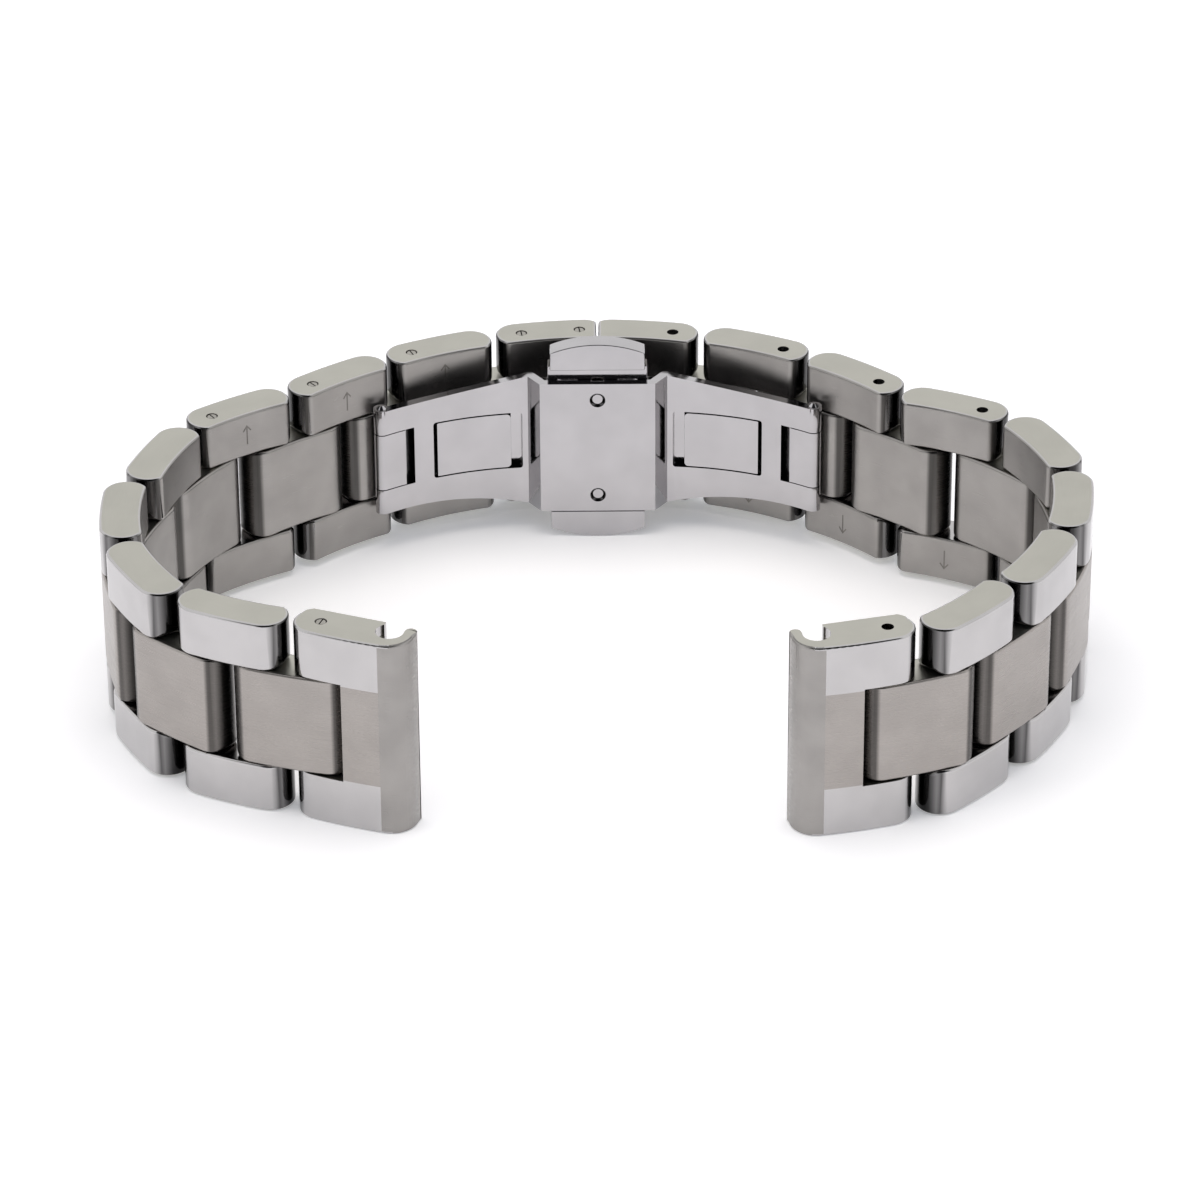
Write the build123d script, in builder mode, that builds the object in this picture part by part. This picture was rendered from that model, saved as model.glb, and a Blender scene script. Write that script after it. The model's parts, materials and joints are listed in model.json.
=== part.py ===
"""A three-row link watch bracelet with a hidden twin-button butterfly clasp, standing on its edge.

Millimetres, +Z across the bracelet's width. The links lie in the rest pose of an open C:
the clasp is at the back (+Y) and the two end links stand at the front.
"""
from math import asin, atan2, cos, degrees, radians, sin, sqrt, tan
import os

from build123d import *

os.makedirs("parts", exist_ok=True)

# Bracelet
lug_width = 20.0  # across the end links, for a 20 mm gap between a watch's lugs
clasp_width = 18.0  # across the links that meet at the clasp
pin_spacing = 5.75  # between the two pins of every link
side_share = 0.243  # share of the width that each side plate takes
pairs_per_half = 8
running_play = 0.05  # clearance round and beside a piece that turns or slides
press_play = 0.02  # clearance of a pin that is pushed home and stays
edge_bevel = 0.12  # broken edge along the outside of every link
overrun = 1.0  # how far a cutting shape runs past what it cuts

# Side plates, seen along the pins
side_radius = 2.2  # round end, and outer face above the pins
side_reach = 2.55  # pin to the end of the plate
side_inner = 1.9  # inner face below the pins
side_crown = 0.12  # how far the outer face swells
side_hollow = 0.3  # how far the inner face is scooped
side_corner = 1.0  # rounding of the two corners beside the centre link

# Centre links, seen along the pins
centre_radius = 2.0
centre_reach = 2.68
centre_outer = 2.15
centre_crown = 0.1
centre_hollow = 0.2
centre_corner = 0.8

# Pins
pin_radius = 0.55
pin_skin = 1.5  # metal left outside a blind pin
pin_sunk = 2.0  # how deep a removable pin's plain end lies below the edge
head_sunk = 0.05  # how deep its split end lies
pin_bevel = 0.12
split_width = 0.12
split_length = 6.0

# End links
end_length = 11.4  # round end to lug end
bar_bore = 0.8  # radius, for a 1.5 mm spring bar
bar_to_tip = 2.35
bar_depth = 1.4  # from the inner face to the spring bar's axis
notch_radius = 1.3  # tool notch round the spring bar's collar
notch_mouth = 0.9  # half width of the notch's mouth, on the side of the links
notch_length = 2.5  # along the width, from each edge
lip_radius = 0.55
lip_set_back = 0.2  # from the inner face to the top of the lip
end_slot_play = 0.05  # between the last centre link and the bottom of its slot

# Rest pose: the turn at each pin in degrees, from the clasp to the end link
first_heading = 7
left_turns = (12, 4, 10, 4, -1, -2, 22, 13, 1, 21, 11, 17, 21, 16, 6, -3)
right_turns = (9, 8, 11, 6, -2, -14, 19, 21, 17, 14, 13, 10, 11, 4, 26, 6)
left_open_pins = (0, 1, 3, 5, 7, 16)  # pins whose holes run right through the plates
right_open_pins = (1, 3, 5, 7, 16)

# Clasp: a pressed plate with two curved wings
first_pin_x = 1.75  # from the middle of the clasp to the first pin of each half
first_pin_rise = 10.01  # from the hinges out to the first pins
meeting_gap = 0.2  # between the two halves at the middle of the clasp
meeting_corner = 0.5
sheet = 0.9  # thickness of the plate
plate_half_length = 5.65
plate_half_height = 7.1
shoulder_x = 6.85
shoulder_rise = 1.7
wing_radius = 28.0
wing_lean = 3.0  # degrees, slope of the wing where it leaves the shoulder
hinge_x = 21.07
wing_waist_x = 12.4
wing_waist_half_height = 6.1
wing_end_half_height = 5.75
window_from = 7.4
window_to = 16.1
window_half_height = 3.1
window_corner = 0.3
slot_from = 17.95
barrel_radius = 0.8
hinge_rise = 0.8  # from the wing's inner face out to the hinge pin
hinge_pin_radius = 0.5
hinge_stand = 0.3  # how far the hinge pin's bevelled ends stand out

# Clasp: the folding arms, which lie behind the wings and fill the windows
arm_sheet = 0.7
arm_gap = 0.1  # between an arm and the wing that it lies behind
pad_gap = 0.15  # between an arm's pad and the window round it
arm_half_width = 4.3
tongue_to = 18.8
sheet_from_x = 19.88
sheet_to_x = 7.2
pad_from = 8.55
pad_corner = 0.4
neck_top_x = 2.6
neck_top_drop = 1.4  # from the first pin in to the end of the neck
neck_half_slot = 3.0
neck_slot_from = 3.95
neck_slot_to = 5.25

# Clasp: push buttons, their guide pins and springs
button_half_length = 4.65
button_arch = 0.95  # how much lower the ends of the push face are than its middle
button_depth = 2.0
button_travel = 1.45
button_rest_gap = 0.05  # between a pressed button and the plate
stem_half_length = 2.0
stem_depth = 2.0
stem_length = 5.0
leg_from = 3.9
leg_to = 4.9
leg_depth = 1.5
bridge_height = 1.5  # of the bar that joins the two legs
finger_width = 0.6
finger_top = 5.3
finger_height = 1.0
finger_clearance = 0.05
guide_height = 5.3  # from mid height to each guide pin
guide_radius = 0.5
guide_head_radius = 0.9
guide_head_height = 0.6
guide_sink_radius = 0.75
guide_sunk = 0.25  # from the plate's inner face to the pin's end, in its countersink
stop_half_height = 0.5
stop_half_length = 1.4
spring_wire = 0.25
spring_radius = 0.85
spring_turns = 5

mid_height = lug_width / 2
button_height = mid_height - plate_half_height - button_rest_gap
arc_u = pin_spacing / 2 + side_reach - side_radius
corner_u = arc_u + sqrt(side_radius**2 - side_inner**2)
centre_arc_u = pin_spacing / 2 + centre_reach - centre_radius
centre_v = centre_outer - centre_radius
wing_x = shoulder_x - wing_radius * sin(radians(wing_lean))
wing_y = shoulder_rise - wing_radius * cos(radians(wing_lean))
hinge_angle = degrees(asin((hinge_x - wing_x) / (wing_radius + hinge_rise)))
hinge_y = wing_y + (wing_radius + hinge_rise) * cos(radians(hinge_angle))
first_pin_y = hinge_y + first_pin_rise


def walk(side, turns):
    """Pins of one half in plan, from the clasp outwards, and each link's heading in degrees."""
    headings = [side * first_heading]
    for turn in turns:
        headings.append(headings[-1] + side * turn)
    pins = [(-side * first_pin_x, first_pin_y)]
    for heading in headings:
        x, y = pins[-1]
        step = side * pin_spacing
        pins.append((x - step * cos(radians(heading)), y - step * sin(radians(heading))))
    return pins, headings


def width_at(pair):
    """Width of a side pair, counted from 1 at the clasp; the end link comes after the last."""
    return clasp_width + (lug_width - clasp_width) * (pair - 1) / pairs_per_half


def outline_reach(pins, headings):
    """Lowest and highest plan coordinates that the side plates' outlines reach."""
    xs = []
    ys = []
    for index in range(0, len(headings), 2):
        angle = radians(headings[index])
        along = (cos(angle), sin(angle))
        centre_x = (pins[index][0] + pins[index + 1][0]) / 2
        centre_y = (pins[index][1] + pins[index + 1][1]) / 2
        for end in (-arc_u, arc_u):
            xs += [centre_x + end * along[0] - side_radius, centre_x + end * along[0] + side_radius]
            ys += [centre_y + end * along[1] - side_radius, centre_y + end * along[1] + side_radius]
        out = side_radius + side_crown
        xs.append(centre_x - out * along[1])
        ys.append(centre_y + out * along[0])
    return min(xs), max(xs), min(ys), max(ys)


left_pins, left_headings = walk(1, left_turns)
right_pins, right_headings = walk(-1, right_turns)
left_reach = outline_reach(left_pins, left_headings)
right_reach = outline_reach(right_pins, right_headings)
clasp_x = -(left_reach[0] + right_reach[1]) / 2
clasp_y = -(min(left_reach[2], right_reach[2]) + max(left_reach[3], right_reach[3])) / 2
clasp_plane = Plane(origin=(clasp_x, clasp_y, mid_height))


def link_plane(pins, headings, index):
    """Plane of a link at mid height, its origin half way between the pins, X along the link."""
    x = (pins[index][0] + pins[index + 1][0]) / 2 + clasp_x
    y = (pins[index][1] + pins[index + 1][1]) / 2 + clasp_y
    angle = radians(headings[index])
    return Plane(origin=(x, y, mid_height), x_dir=(cos(angle), sin(angle), 0), z_dir=(0, 0, 1))


def face_plane(plane):
    """Plane through the link's middle, seen from the wrist: X along the link, Y up."""
    return Plane(origin=plane.origin, x_dir=plane.x_dir, z_dir=-plane.y_dir)


def bevel_outside(part):
    """Break the edges of the two faces at the sides of the bracelet."""
    groups = part.edges().group_by(Axis.Z)
    chamfer(groups[0] + groups[-1], length=edge_bevel)


def save(piece, name):
    piece.part.label = name
    export_step(piece.part, "parts/" + name + ".step")


def side_profile(plane):
    """Side plate in plan: round ends, a swelling outer face and a scooped inner face."""
    with BuildSketch(plane) as profile:
        with BuildLine():
            ThreePointArc((-corner_u, -side_inner), (0, side_hollow - side_inner), (corner_u, -side_inner))
            ThreePointArc((corner_u, -side_inner), (arc_u + side_radius, 0), (arc_u, side_radius))
            ThreePointArc((arc_u, side_radius), (0, side_radius + side_crown), (-arc_u, side_radius))
            ThreePointArc((-arc_u, side_radius), (-arc_u - side_radius, 0), (-corner_u, -side_inner))
        make_face()
    return profile.sketch


def meeting_u(depth):
    """How far past its first pin a link reaches at one depth, to end square to the other half."""
    slope = radians(first_heading)
    return (first_pin_x - meeting_gap / 2 + depth * sin(slope)) / cos(slope)


def cut_at_meeting(plane, side, thickness):
    """Cut a link off where the two halves meet at the middle of the clasp."""
    first_pin_u = side * pin_spacing / 2
    inner = -2 * side_inner
    outer = 2 * side_radius
    far = first_pin_u + side * 2 * side_reach
    with BuildSketch(plane) as beyond:
        with BuildLine():
            Polyline(
                (first_pin_u + side * meeting_u(inner), inner),
                (first_pin_u + side * meeting_u(outer), outer),
                (far, outer),
                (far, inner),
                close=True,
            )
        make_face()
    extrude(beyond.sketch, amount=thickness, both=True, mode=Mode.SUBTRACT)


def pin_holes(plane, ends, width, open_ends):
    """Holes for the pins, right through or blind, at the given ends of a link."""
    for end, is_open in zip(ends, open_ends):
        reach = width / 2 + overrun if is_open else width / 2 - pin_skin
        with BuildSketch(plane) as hole:
            with Locations((end, 0)):
                Circle(pin_radius + press_play)
        extrude(hole.sketch, amount=reach, both=True, mode=Mode.SUBTRACT)


def side_pair(name, plane, side, pair, open_ends):
    """The two side plates of one link, joined only by their pins."""
    width = width_at(pair)
    band = width * side_share
    ends = (side * pin_spacing / 2, -side * pin_spacing / 2)
    with BuildPart() as plates:
        extrude(side_profile(plane), amount=width / 2, both=True)
        bevel_outside(plates)
        with BuildSketch(face_plane(plane)) as faces:
            with Locations((0, (width - band) / 2), (0, (band - width) / 2)):
                Rectangle(2 * (arc_u + side_radius), band)
            inner_corners = faces.vertices().filter_by(lambda v: abs(v.Y) < width / 2 - band / 2)
            fillet(inner_corners, radius=side_corner)
        extrude(amount=2 * side_radius, both=True, mode=Mode.INTERSECT)
        if pair == 1:
            cut_at_meeting(plane, side, width)
            corner = plates.edges().filter_by(Axis.Z).sort_by(lambda e: e.center().Y)[-4:]
            corner = corner.sort_by(lambda e: abs(e.center().X - clasp_x))[:2]
            fillet(corner, radius=meeting_corner)
        pin_holes(plane, ends, width, open_ends)
    save(plates, name)


def centre_link(name, plane, half_width):
    """One centre link: a bar with round ends that turns on the pins of two side pairs."""
    with BuildPart() as link:
        with BuildSketch(plane):
            with BuildLine():
                low = centre_v - centre_radius
                high = centre_v + centre_radius
                right_tip = (centre_arc_u + centre_radius, centre_v)
                left_tip = (-centre_arc_u - centre_radius, centre_v)
                ThreePointArc((-centre_arc_u, low), (0, low + centre_hollow), (centre_arc_u, low))
                ThreePointArc((centre_arc_u, low), right_tip, (centre_arc_u, high))
                ThreePointArc((centre_arc_u, high), (0, high + centre_crown), (-centre_arc_u, high))
                ThreePointArc((-centre_arc_u, high), left_tip, (-centre_arc_u, low))
            make_face()
        extrude(amount=half_width, both=True)
        with BuildSketch(face_plane(plane)):
            RectangleRounded(2 * (centre_arc_u + centre_radius), 2 * half_width, centre_corner)
        extrude(amount=2 * centre_radius, both=True, mode=Mode.INTERSECT)
        with BuildSketch(plane):
            with Locations((-pin_spacing / 2, 0), (pin_spacing / 2, 0)):
                Circle(pin_radius + running_play)
        extrude(amount=half_width + overrun, both=True, mode=Mode.SUBTRACT)
    save(link, name)


def link_pins(name, plane, ends, width, open_ends, head_up):
    """Pins of one link: removable split pins in open holes, plain ones in blind holes."""
    with BuildPart() as pins:
        for end, is_open in zip(ends, open_ends):
            blind_end = width / 2 - pin_skin - press_play
            head = width / 2 - head_sunk if is_open else blind_end
            tail = width / 2 - pin_sunk if is_open else blind_end
            low = -tail if head_up else -head
            with BuildSketch(plane.offset(low)):
                with Locations((end, 0)):
                    Circle(pin_radius)
            extrude(amount=head + tail)
            if is_open:
                start = head - split_length if head_up else -head - overrun
                with BuildSketch(plane.offset(start)):
                    with Locations((end, 0)):
                        Rectangle(split_width, 2 * pin_radius + overrun)
                extrude(amount=split_length + overrun, mode=Mode.SUBTRACT)
        groups = pins.edges().filter_by(GeomType.CIRCLE).group_by(Axis.Z)
        chamfer(groups[0] + groups[-1], length=pin_bevel)
    save(pins, name)


def end_link(name, plane, side, slot_half_width):
    """End link: one solid piece, slotted for the last centre link and bored for a spring bar."""
    out = -side  # the lug end lies this way along the plane's X
    tip_u = end_length - arc_u - side_radius
    bar_u = tip_u - bar_to_tip
    bar_v = bar_depth - side_inner
    lip_u = tip_u - lip_radius
    lip_v = lip_set_back - side_inner + lip_radius
    turn_mid = radians(45)
    tip_half = tip_u - bar_u
    tip_rise = side_radius - bar_v
    with BuildPart() as link:
        with BuildSketch(plane):
            with BuildLine():
                Line((out * -corner_u, -side_inner), (out * (lip_u - lip_radius), -side_inner))
                Line((out * (lip_u - lip_radius), -side_inner), (out * (lip_u - lip_radius), lip_v))
                ThreePointArc(
                    (out * (lip_u - lip_radius), lip_v),
                    (out * lip_u, lip_v - lip_radius),
                    (out * tip_u, lip_v),
                )
                Line((out * tip_u, lip_v), (out * tip_u, bar_v))
                ThreePointArc(
                    (out * tip_u, bar_v),
                    (out * (bar_u + tip_half * cos(turn_mid)), bar_v + tip_rise * sin(turn_mid)),
                    (out * bar_u, side_radius),
                )
                ThreePointArc(
                    (out * bar_u, side_radius),
                    (out * (bar_u - arc_u) / 2, side_radius + side_crown),
                    (out * -arc_u, side_radius),
                )
                ThreePointArc(
                    (out * -arc_u, side_radius),
                    (out * (-arc_u - side_radius), 0),
                    (out * -corner_u, -side_inner),
                )
            make_face()
        extrude(amount=lug_width / 2, both=True)
        slot_from = -arc_u - side_radius - overrun
        slot_to = centre_reach + end_slot_play - pin_spacing / 2
        with BuildSketch(face_plane(plane)) as slot:
            with Locations((out * (slot_from + slot_to) / 2, 0)):
                Rectangle(slot_to - slot_from, 2 * slot_half_width)
        extrude(amount=2 * side_radius, both=True, mode=Mode.SUBTRACT)
        for edge_height in (lug_width / 2 - notch_length, -lug_width / 2 - overrun):
            with BuildSketch(plane.offset(edge_height)):
                with Locations((out * bar_u, bar_v)):
                    Circle(notch_radius)
                mouth_from = bar_u - notch_mouth
                mouth_to = lip_u - lip_radius
                with Locations((out * (mouth_from + mouth_to) / 2, -side_inner)):
                    Rectangle(mouth_to - mouth_from, 2 * (bar_v + side_inner))
            extrude(amount=notch_length + overrun, mode=Mode.SUBTRACT)
        with BuildSketch(plane):
            with Locations((out * bar_u, bar_v)):
                Circle(bar_bore)
        extrude(amount=lug_width / 2 + overrun, both=True, mode=Mode.SUBTRACT)
        pin_holes(plane, (out * -pin_spacing / 2,), lug_width, (True,))
    save(link, name)
    return plane.from_local_coords((out * bar_u, bar_v, 0))


def half_bracelet(label, side, pins, headings, open_pins):
    """All links and pins of one half, from the clasp to the end link."""
    head_up = side > 0
    for pair in range(1, pairs_per_half + 1):
        index = 2 * (pair - 1)
        plane = link_plane(pins, headings, index)
        width = width_at(pair)
        open_ends = (index in open_pins, index + 1 in open_pins)
        ends = (side * pin_spacing / 2, -side * pin_spacing / 2)
        side_pair(label + "_side_pair_" + str(pair), plane, side, pair, open_ends)
        link_pins(label + "_pins_" + str(pair), plane, ends, width, open_ends, head_up)
        half_width = width * (0.5 - side_share) - running_play
        plane = link_plane(pins, headings, index + 1)
        centre_link(label + "_centre_link_" + str(pair), plane, half_width)
    index = 2 * pairs_per_half
    plane = link_plane(pins, headings, index)
    bar = end_link(label + "_end_link", plane, side, lug_width * (0.5 - side_share))
    end_pin = (side * pin_spacing / 2,)
    link_pins(label + "_end_pin", plane, end_pin, lug_width, (True,), head_up)
    print(label, "spring bar axis", [round(value, 3) for value in bar.to_tuple()])
    for index, (x, y) in enumerate(pins[:-1]):
        print(label, "pin", index, round(x + clasp_x, 4), round(y + clasp_y, 4))


def wing_point(angle, radius):
    """Point on the wing's arc in the clasp's plan; angle in degrees from the outward direction."""
    return (wing_x + radius * sin(radians(angle)), wing_y + radius * cos(radians(angle)))


def wing_angle(x, radius):
    return degrees(atan2(x - wing_x, sqrt(radius**2 - (x - wing_x) ** 2)))


def flip(point, side):
    return (-side * point[0], point[1])


hinge = (hinge_x, hinge_y)


def arc_band(side, inner, outer, angle_from, angle_to):
    """Face of a stretch of sheet that follows the wing's arc, between two radii."""
    middle = (angle_from + angle_to) / 2
    with BuildLine() as band:
        ThreePointArc(
            flip(wing_point(angle_from, inner), side),
            flip(wing_point(middle, inner), side),
            flip(wing_point(angle_to, inner), side),
        )
        Line(flip(wing_point(angle_to, inner), side), flip(wing_point(angle_to, outer), side))
        ThreePointArc(
            flip(wing_point(angle_to, outer), side),
            flip(wing_point(middle, outer), side),
            flip(wing_point(angle_from, outer), side),
        )
        Line(flip(wing_point(angle_from, outer), side), flip(wing_point(angle_from, inner), side))
    make_face(band.edges())


def base_plate():
    """The plate that lies on the wrist: a raised middle, two sloping shoulders and two wings."""
    slope = atan2(shoulder_rise, shoulder_x - plate_half_length)
    lean = radians(wing_lean)
    turn = 1 + cos(slope + lean)
    outer_plate_x = plate_half_length - sheet * tan(slope / 2)
    outer_shoulder = (
        shoulder_x + sheet * (sin(lean) - sin(slope)) / turn,
        shoulder_rise + sheet * (cos(slope) + cos(lean)) / turn,
    )
    wing_start = wing_point(wing_lean, wing_radius + sheet)
    face = face_plane(clasp_plane)
    with BuildPart() as plate:
        with BuildSketch(clasp_plane):
            with BuildLine():
                Polyline(
                    (-plate_half_length, 0),
                    (plate_half_length, 0),
                    (shoulder_x, shoulder_rise),
                    wing_start,
                    outer_shoulder,
                    (outer_plate_x, sheet),
                    (-outer_plate_x, sheet),
                    flip(outer_shoulder, 1),
                    flip(wing_start, 1),
                    (-shoulder_x, shoulder_rise),
                    close=True,
                )
            make_face()
            for side in (1, -1):
                arc_band(side, wing_radius, wing_radius + sheet, wing_lean, hinge_angle)
                with Locations(flip(hinge, side)):
                    Circle(barrel_radius)
        extrude(amount=plate_half_height, both=True)
        with BuildSketch(face):
            with BuildLine():
                end_x = hinge[0] + barrel_radius
                waist = (wing_waist_x, wing_waist_half_height)
                for up in (1, -1):
                    Line((-shoulder_x, up * plate_half_height), (shoulder_x, up * plate_half_height))
                    for side in (1, -1):
                        ThreePointArc(
                            (side * shoulder_x, up * plate_half_height),
                            (side * waist[0], up * waist[1]),
                            (side * end_x, up * wing_end_half_height),
                        )
                for side in (1, -1):
                    Line((side * end_x, wing_end_half_height), (side * end_x, -wing_end_half_height))
            make_face()
        extrude(amount=first_pin_y, both=True, mode=Mode.INTERSECT)
        with BuildSketch(face):
            for side in (1, -1):
                with Locations((side * (window_from + window_to) / 2, 0)):
                    RectangleRounded(window_to - window_from, 2 * window_half_height, window_corner)
                with Locations((side * (slot_from + end_x + overrun) / 2, 0)):
                    Rectangle(end_x + overrun - slot_from, 2 * window_half_height)
            with Locations((0, guide_height), (0, -guide_height)):
                Circle(guide_radius + press_play)
        extrude(amount=first_pin_y, both=True, mode=Mode.SUBTRACT)
        with BuildSketch(clasp_plane):
            with Locations(flip(hinge, 1), flip(hinge, -1)):
                Circle(hinge_pin_radius + press_play)
        extrude(amount=plate_half_height, both=True, mode=Mode.SUBTRACT)
        for up in (1, -1):
            sink = Plane(
                origin=clasp_plane.from_local_coords((0, 0, up * guide_height)), z_dir=(0, -1, 0)
            )
            with Locations(sink):
                CounterSinkHole(guide_radius + press_play, guide_sink_radius + press_play, sheet)
        with BuildSketch(clasp_plane):
            with Locations((0, sheet + stem_depth / 2)):
                Rectangle(2 * stop_half_length, stem_depth)
        extrude(amount=stop_half_height, both=True)
    save(plate, "clasp_base_plate")


def clasp_arm(name, side):
    """Folding arm: a knuckle on the hinge pin, a sheet behind the wing, a pad that fills its window
    and a link-shaped head between the first pair of side plates."""
    inner = wing_radius + sheet + arm_gap
    outer = inner + arm_sheet
    half_height = window_half_height - 2 * running_play
    pad_half_height = window_half_height - pad_gap
    pad_to = window_to - pad_gap
    head_half_width = clasp_width * (0.5 - side_share) - running_play
    face = face_plane(clasp_plane)
    if side > 0:
        plane = link_plane(left_pins, left_headings, 0)
    else:
        plane = link_plane(right_pins, right_headings, 0)
    neck_angle = wing_angle(sheet_to_x, inner)
    neck_foot = wing_point(neck_angle, inner)
    neck_top = (neck_top_x, first_pin_y - neck_top_drop)
    neck_slope = atan2(neck_top[1] - neck_foot[1], neck_foot[0] - neck_top[0])
    neck_outside = (neck_top[0] + arm_sheet * sin(neck_slope), neck_top[1] + arm_sheet * cos(neck_slope))
    first_pin_u = side * pin_spacing / 2
    with BuildPart() as arm:
        with BuildPart():
            with BuildSketch(clasp_plane):
                pad_start = wing_angle(window_from, wing_radius)
                arc_band(side, wing_radius, inner + running_play, pad_start, wing_angle(window_to, inner))
            extrude(amount=pad_half_height, both=True)
            with BuildSketch(face):
                with Locations((-side * (pad_from + pad_to) / 2, 0)):
                    RectangleRounded(pad_to - pad_from, 2 * pad_half_height, pad_corner)
            extrude(amount=first_pin_y, both=True, mode=Mode.INTERSECT)
        with BuildSketch(clasp_plane):
            with Locations(flip(hinge, side)):
                Circle(barrel_radius)
            arc_band(side, wing_radius, outer, wing_angle(tongue_to, wing_radius), hinge_angle)
        extrude(amount=half_height, both=True)
        with BuildSketch(clasp_plane):
            arc_band(side, inner, outer, neck_angle, wing_angle(sheet_from_x, inner))
            with BuildLine():
                Polyline(
                    flip(neck_foot, side),
                    flip(wing_point(neck_angle, outer), side),
                    flip(neck_outside, side),
                    flip(neck_top, side),
                    close=True,
                )
            make_face()
        extrude(amount=arm_half_width, both=True)
        with BuildSketch(face):
            with Locations((-side * (neck_slot_from + neck_slot_to) / 2, 0)):
                Rectangle(neck_slot_to - neck_slot_from, 2 * neck_half_slot)
        extrude(amount=first_pin_y, both=True, mode=Mode.SUBTRACT)
        with BuildSketch(plane):
            with Locations((first_pin_u, centre_v)):
                Circle(centre_radius)
                with Locations((side * centre_radius / 2, 0)):
                    Rectangle(centre_radius, 2 * centre_radius)
        extrude(amount=head_half_width, both=True)
        cut_at_meeting(plane, side, head_half_width)
        with BuildSketch(plane):
            with Locations((first_pin_u, 0)):
                Circle(pin_radius + running_play)
        extrude(amount=head_half_width + overrun, both=True, mode=Mode.SUBTRACT)
        with BuildSketch(clasp_plane):
            with Locations(flip(hinge, side)):
                Circle(hinge_pin_radius + running_play)
        extrude(amount=arm_half_width, both=True, mode=Mode.SUBTRACT)
    save(arm, name)


def push_button(name, up, gap):
    """Push button: an arched head, a guided stem and two legs whose fingers stand in the arms."""
    face = face_plane(clasp_plane)
    head_low = plate_half_height + gap
    head_high = head_low + button_height
    pressed_by = button_travel + button_rest_gap - gap
    leg_low = neck_half_slot - finger_clearance - finger_height - pressed_by
    stem_low = head_low - stem_length
    slot_low = guide_height - guide_radius - running_play - pressed_by
    slot_high = slot_low + 2 * (guide_radius + running_play) + button_travel
    with BuildPart() as button:
        with BuildSketch(face):
            with BuildLine():
                ends = head_high - button_arch
                Polyline(
                    (-button_half_length, up * ends),
                    (-button_half_length, up * head_low),
                    (button_half_length, up * head_low),
                    (button_half_length, up * ends),
                )
                ThreePointArc(
                    (button_half_length, up * ends), (0, up * head_high), (-button_half_length, up * ends)
                )
            make_face()
        extrude(amount=-button_depth)
        behind = face.offset(-sheet - running_play * 2)
        with BuildSketch(behind):
            with Locations((0, up * (stem_low + head_low) / 2)):
                Rectangle(2 * stem_half_length, head_low - stem_low)
        extrude(amount=-stem_depth)
        with BuildSketch(behind):
            for side in (1, -1):
                with Locations((side * (leg_from + leg_to) / 2, up * (leg_low + head_low) / 2)):
                    Rectangle(leg_to - leg_from, head_low - leg_low)
            with Locations((0, up * (head_low - bridge_height / 2))):
                Rectangle(2 * leg_to, bridge_height)
        extrude(amount=-leg_depth)
        with BuildSketch(behind):
            for side in (1, -1):
                with Locations((side * (leg_to - finger_width / 2), up * (leg_low + finger_height / 2))):
                    Rectangle(finger_width, finger_height)
        extrude(amount=sheet - finger_top)
        with BuildSketch(behind):
            with Locations((0, up * (slot_low + slot_high) / 2)):
                Rectangle(2 * (guide_radius + running_play), slot_high - slot_low)
        extrude(amount=-stem_depth - overrun, mode=Mode.SUBTRACT)
    save(button, name)
    return stem_low


def clasp_pins():
    """Two hinge pins with bevelled ends, and two riveted guide pins for the buttons."""
    with BuildPart() as pins:
        with BuildSketch(clasp_plane):
            with Locations(flip(hinge, 1), flip(hinge, -1)):
                Circle(hinge_pin_radius)
        extrude(amount=wing_end_half_height + hinge_stand, both=True)
        chamfer(pins.edges().filter_by(GeomType.CIRCLE), length=hinge_stand)
        head_from = sheet + 2 * running_play + stem_depth + running_play
        for up in (1, -1):
            centre = clasp_plane.from_local_coords((0, 0, up * guide_height))
            axis_plane = Plane(origin=centre, x_dir=(1, 0, 0), z_dir=(0, 1, 0))
            with BuildSketch(axis_plane.offset(guide_sunk)) as shank:
                Circle(guide_radius)
            extrude(shank.sketch, amount=head_from - guide_sunk)
            with BuildSketch(axis_plane.offset(head_from)) as head:
                Circle(guide_head_radius)
            extrude(head.sketch, amount=guide_head_height)
    save(pins, "clasp_pins")


def button_spring(name, up, stem_low):
    """Coil spring between the stop on the base plate and a button's stem."""
    low = stop_half_height + spring_wire / 2 + running_play
    high = stem_low - spring_wire / 2 - running_play
    base = clasp_plane.from_local_coords((0, sheet + 2 * running_play + stem_depth / 2, up * low))
    with BuildPart() as spring:
        with BuildLine() as coil:
            Helix(
                pitch=(high - low) / spring_turns,
                height=high - low,
                radius=spring_radius,
                center=base,
                direction=(0, 0, up),
            )
        with BuildSketch(Plane(origin=coil.line @ 0, z_dir=coil.line % 0)):
            Circle(spring_wire / 2)
        sweep()
    save(spring, name)


half_bracelet("left", 1, left_pins, left_headings, left_open_pins)
half_bracelet("right", -1, right_pins, right_headings, right_open_pins)
base_plate()
clasp_arm("left_clasp_arm", 1)
clasp_arm("right_clasp_arm", -1)
upper_stem = push_button("upper_button", 1, button_rest_gap + button_travel)
lower_stem = push_button("lower_button", -1, button_rest_gap)
clasp_pins()
button_spring("upper_spring", 1, upper_stem)
button_spring("lower_spring", -1, lower_stem)
for side_name, side in (("left", 1), ("right", -1)):
    x, y = flip(hinge, side)
    print(side_name, "clasp hinge", round(x + clasp_x, 4), round(y + clasp_y, 4))
print("clasp centre", round(clasp_x, 4), round(clasp_y, 4))
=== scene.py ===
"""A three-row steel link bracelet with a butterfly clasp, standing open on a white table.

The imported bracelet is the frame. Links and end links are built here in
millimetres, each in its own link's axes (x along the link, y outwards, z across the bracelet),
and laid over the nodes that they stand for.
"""

import json
from math import atan2, cos, hypot, pi, radians, sin, sqrt

import bmesh
import bpy
from mathutils import Matrix, Vector


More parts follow.
